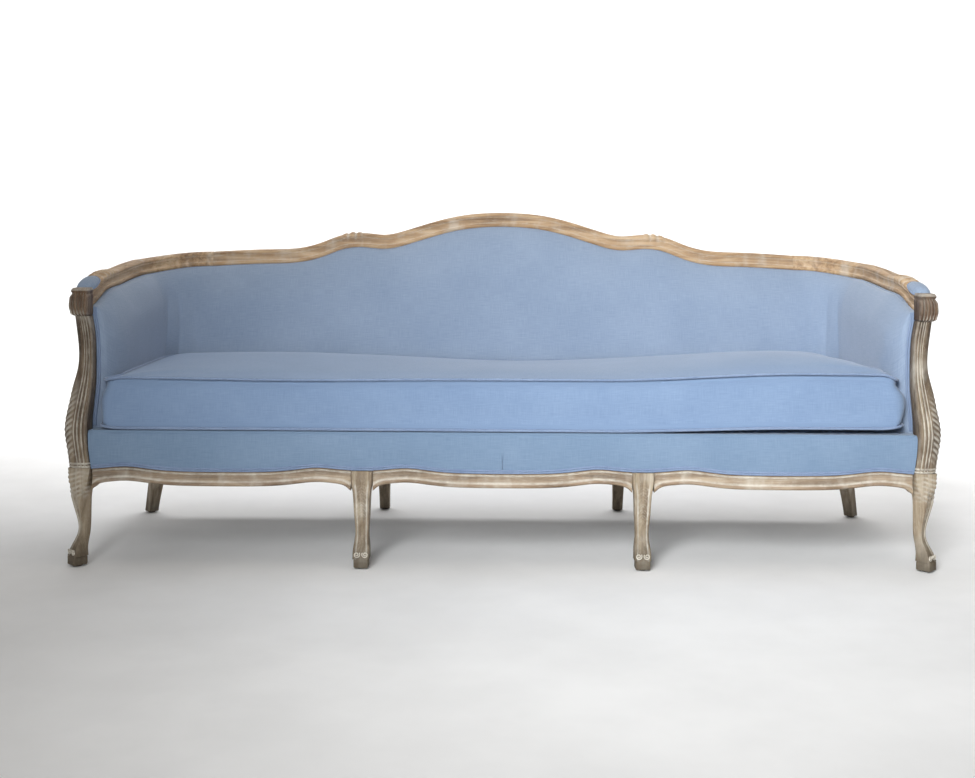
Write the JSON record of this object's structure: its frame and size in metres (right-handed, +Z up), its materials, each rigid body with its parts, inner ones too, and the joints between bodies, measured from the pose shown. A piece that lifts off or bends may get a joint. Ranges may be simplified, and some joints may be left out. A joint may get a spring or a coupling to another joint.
{
  "type": "sofa",
  "caption": "Camel-back sofa with a carved limed-oak frame, cabriole legs, padded wrap-round back in blue linen and one long loose seat cushion",
  "frame": {"origin": "floor level, under the middle of the sofa's overall box", "axes": "+X along the sofa to its left-hand side as a sitter faces out, +Y to the back, +Z up"},
  "size_m": [2.232, 0.7902, 0.912],
  "materials": {
    "limed_oak": "carved, bleached and limed, waxed",
    "frame_timber": "sawn, unfinished",
    "blue_linen": "plain-weave linen",
    "piping_linen": "linen-covered cord",
    "foam": "open-cell foam",
    "webbing": "jute webbing",
    "dust_cloth": "black cambric",
    "zip_tape": "woven zip tape with moulded teeth",
    "steel": "zinc plated",
    "glide_plastic": "moulded"
  },
  "bodies": {
    "frame": {"arm_dowels": "frame_timber", "arm_pad_left": "blue_linen", "arm_pad_right": "blue_linen", "arm_post_left": "limed_oak", "arm_post_right": "limed_oak", "arm_rail_left": "limed_oak", "arm_rail_right": "limed_oak", "arm_scroll_left": "limed_oak", "arm_scroll_right": "limed_oak", "back_webbing": "webbing", "border_cover": "blue_linen", "corner_block_screws": "steel", "corner_blocks": "frame_timber", "crest_dowels": "frame_timber", "crest_rail": "limed_oak", "deck_cover": "blue_linen", "deck_foam": "foam", "dust_cover": "dust_cloth", "front_corner_leg_left": "limed_oak", "front_corner_leg_right": "limed_oak", "front_middle_leg_left": "limed_oak", "front_middle_leg_right": "limed_oak", "front_rail_centre": "limed_oak", "front_rail_left": "limed_oak", "front_rail_right": "limed_oak", "inside_arm_cover_left": "blue_linen", "inside_arm_cover_right": "blue_linen", "inside_arm_foam_left": "foam", "inside_arm_foam_right": "foam", "inside_back_cover": "blue_linen", "inside_back_foam": "foam", "leg_glides": "glide_plastic", "lower_arm_rail_left": "frame_timber", "lower_arm_rail_right": "frame_timber", "lower_back_rail_centre": "frame_timber", "lower_back_rail_left": "frame_timber", "lower_back_rail_right": "frame_timber", "outside_arm_cover_left": "blue_linen", "outside_arm_cover_right": "blue_linen", "outside_back_cover": "blue_linen", "rear_corner_stile_left": "limed_oak", "rear_corner_stile_right": "limed_oak", "rear_middle_stile_left": "limed_oak", "rear_middle_stile_right": "limed_oak", "rear_rail_centre": "limed_oak", "rear_rail_left": "limed_oak", "rear_rail_right": "limed_oak", "seat_cross_rail_left": "frame_timber", "seat_cross_rail_right": "frame_timber", "seat_frame_dowels": "frame_timber", "seat_webbing_cross": "webbing", "seat_webbing_long": "webbing", "side_rail_left": "limed_oak", "side_rail_right": "limed_oak"},
    "seat_cushion": {"cushion_core": "foam", "cushion_cover": "blue_linen", "cushion_piping_bottom": "piping_linen", "cushion_piping_top": "piping_linen", "cushion_zip": "zip_tape"},
    "zip_pull": {"zip_slider": "steel"}
  },
  "joints": [
    {"name": "cushion_lift", "type": "slide", "parent": "frame", "child": "seat_cushion", "axis": [0, 0, 1], "range_m": [0, 0.58]},
    {"name": "zip_slide", "type": "slide", "parent": "seat_cushion", "child": "zip_pull", "axis": [1, 0, 0], "range_m": [0, 1.4]}
  ]
}
